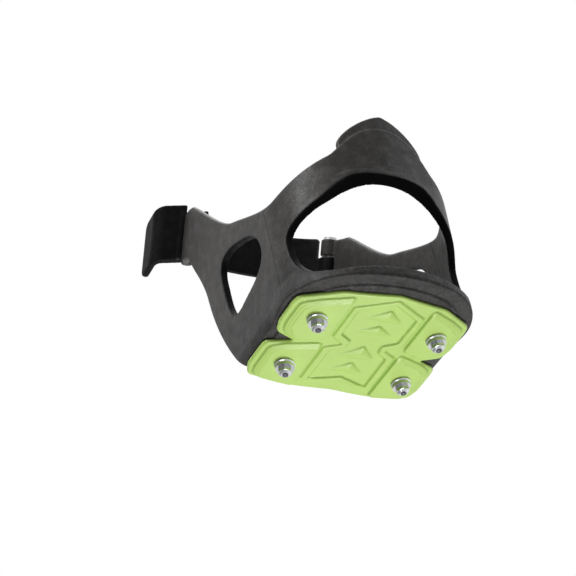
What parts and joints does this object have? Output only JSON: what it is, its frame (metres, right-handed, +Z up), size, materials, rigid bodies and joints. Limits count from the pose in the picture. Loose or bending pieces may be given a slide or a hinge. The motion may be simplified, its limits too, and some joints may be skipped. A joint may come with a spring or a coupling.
{
  "type": "heel ice spur",
  "caption": "Black rubber heel harness with a lime green studded traction plate under the heel and a hinged instep strap with a pull tab",
  "frame": {"origin": "middle of the heel seat's upper face, over the middle of the stud pattern", "axes": "+Z up out of the seat towards the boot, +Y towards the toe, +X to the wearer's right"},
  "size_m": [0.1036, 0.1613, 0.1476],
  "materials": {
    "harness_rubber": "matte moulded elastomer with a fine grain",
    "plate_lime": "satin moulded thermoplastic",
    "strap_rubber": "smooth matte elastomer",
    "bright_steel": "bright zinc plate",
    "hard_tip": "ground hard metal",
    "plain_steel": "plain plated steel"
  },
  "bodies": {
    "spur": {"harness": "harness_rubber", "traction_plate": "plate_lime", "strap_pin": "plain_steel", "pin_cap": "plain_steel", "stud_rear_left": "bright_steel", "stud_rear_right": "bright_steel", "stud_front_left": "bright_steel", "stud_front_right": "bright_steel", "tip_rear_left": "hard_tip", "tip_rear_right": "hard_tip", "tip_front_left": "hard_tip", "tip_front_right": "hard_tip", "washer_rear_left": "bright_steel", "washer_rear_right": "bright_steel", "washer_front_left": "bright_steel", "washer_front_right": "bright_steel", "tnut_rear_left": "plain_steel", "tnut_rear_right": "plain_steel", "tnut_front_left": "plain_steel", "tnut_front_right": "plain_steel"},
    "strap": {"instep_strap": "strap_rubber"}
  },
  "joints": [
    {"name": "strap_swing", "type": "hinge", "parent": "spur", "child": "strap", "pos_m": [0.04015, 0.07831, 0.11174], "axis": [0, 0.4695, -0.8829], "range_deg": [0, 110]}
  ]
}
